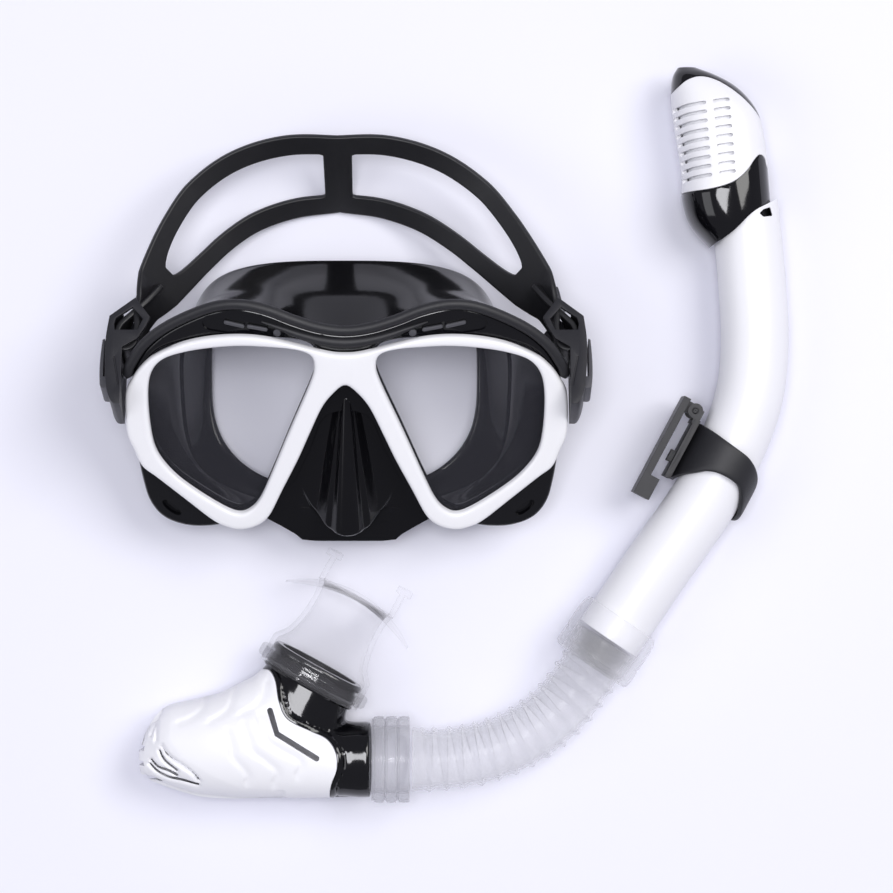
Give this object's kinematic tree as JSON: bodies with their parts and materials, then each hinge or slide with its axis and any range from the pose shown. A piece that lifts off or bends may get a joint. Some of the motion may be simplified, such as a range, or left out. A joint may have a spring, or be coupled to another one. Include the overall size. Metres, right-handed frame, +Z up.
{
  "type": "diving mask and snorkel set",
  "caption": "Two-window diving mask with a skirt, split head strap and side buckles, lying beside a dry-top snorkel with a hose, purge housing and mouthpiece.",
  "frame": {"origin": "middle of the set seen from above, on the surface it lies on", "axes": "+Z up from the surface, +Y towards the forehead side of the mask, +X towards the snorkel tube"},
  "size_m": [0.2774, 0.301, 0.0779],
  "materials": {
    "black_silicone": "glossy moulded silicone",
    "black_gloss": "high gloss",
    "black_matte": "fine matte",
    "white_gloss": "gloss",
    "white_satin": "satin",
    "glass": "polished clear",
    "smoke_gloss": "high gloss",
    "clear_silicone": "clear moulded silicone",
    "clear_plastic": "clear gloss",
    "grey_plastic": "satin",
    "steel": "brushed"
  },
  "bodies": {
    "mask": {"skirt": "black_silicone", "mask_frame": "black_gloss", "front_bezel": "white_gloss", "window_left": "glass", "window_right": "glass", "brow_bead": "black_matte", "pivot_pin_left": "steel", "pivot_pin_right": "steel"},
    "strap_loop": {"head_strap": "black_silicone", "buckle_left": "black_matte", "buckle_right": "black_matte", "lever_pin_left": "steel", "lever_pin_right": "steel"},
    "roller_left": {"strap_roller_left": "black_matte"},
    "roller_right": {"strap_roller_right": "black_matte"},
    "lever_left": {"release_lever_left": "grey_plastic"},
    "lever_right": {"release_lever_right": "grey_plastic"},
    "snorkel_lower": {"lower_housing": "smoke_gloss", "purge_cover": "white_gloss", "purge_seat": "grey_plastic", "mouthpiece": "clear_silicone", "mouthpiece_tie": "clear_plastic", "hose_coupling": "clear_plastic", "flex_hose": "clear_silicone"},
    "purge_disc": {"purge_valve": "black_silicone"},
    "snorkel_upper": {"upper_tube": "white_satin", "hose_cuff": "clear_silicone", "dry_top_socket": "smoke_gloss", "vent_cap": "white_gloss", "cap_crown": "smoke_gloss", "flap_pin": "steel"},
    "keeper": {"keeper_ring": "black_matte", "keeper_pin": "steel"},
    "gate": {"keeper_gate": "black_matte"},
    "float_body": {"float": "white_satin"},
    "flap": {"valve_flap": "grey_plastic", "flap_seal": "black_silicone"}
  },
  "joints": [
    {"name": "strap_swivel", "type": "hinge", "parent": "mask", "child": "strap_loop", "pos_m": [-0.0413, 0.02463, 0.05061], "axis": [1, 0, 0], "range_deg": [-7, 25]},
    {"name": "roller_spin_left", "type": "hinge", "parent": "strap_loop", "child": "roller_left", "pos_m": [0.0467, 0.03524, 0.04617], "axis": [0, 0.3859, 0.9225], "continuous": true},
    {"name": "roller_spin_right", "type": "hinge", "parent": "strap_loop", "child": "roller_right", "pos_m": [-0.1293, 0.03524, 0.04617], "axis": [0, 0.3859, 0.9225], "continuous": true},
    {"name": "lever_pull_left", "type": "hinge", "parent": "strap_loop", "child": "lever_left", "pos_m": [0.0523, 0.01817, 0.05331], "axis": [0, -0.3859, -0.9225], "range_deg": [0, 25], "stiffness_Nm_per_rad": 0.02},
    {"name": "lever_pull_right", "type": "hinge", "parent": "strap_loop", "child": "lever_right", "pos_m": [-0.1349, 0.01817, 0.05331], "axis": [0, 0.3859, 0.9225], "range_deg": [0, 25], "stiffness_Nm_per_rad": 0.02},
    {"name": "snorkel_lift", "type": "slide", "parent": "mask", "child": "snorkel_lower", "axis": [0, 0, 1], "range_m": [0, 0.12]},
    {"name": "hose_bend", "type": "hinge", "parent": "snorkel_lower", "child": "snorkel_upper", "pos_m": [0.0275, -0.12455, 0.018], "axis": [0, 0, 1], "range_deg": [-20, 4], "stiffness_Nm_per_rad": 0.15, "deforming": ["flex_hose"]},
    {"name": "purge_lift", "type": "slide", "parent": "snorkel_lower", "child": "purge_disc", "axis": [-1, 0, 0], "range_m": [0, 0.0015], "stiffness_N_per_m": 20},
    {"name": "keeper_slide", "type": "slide", "parent": "snorkel_upper", "child": "keeper", "axis": [0.4695, 0.8829, 0], "range_m": [-0.006, 0.002]},
    {"name": "gate_swing", "type": "hinge", "parent": "keeper", "child": "gate", "pos_m": [0.09989, 0.00993, 0.018], "axis": [0, 0, -1], "range_deg": [0, 60]},
    {"name": "float_travel", "type": "slide", "parent": "snorkel_upper", "child": "float_body", "axis": [-0.0995, 0.995, 0], "range_m": [0, 0.005]},
    {"name": "flap_swing", "type": "hinge", "parent": "snorkel_upper", "child": "flap", "pos_m": [0.1021, 0.10245, 0.018], "axis": [0, 0, -1], "range_deg": [0, 7]}
  ],
  "couplings": [
    {"joint": "flap_swing", "follows": "float_travel", "rad_per_m": 24.435}
  ]
}
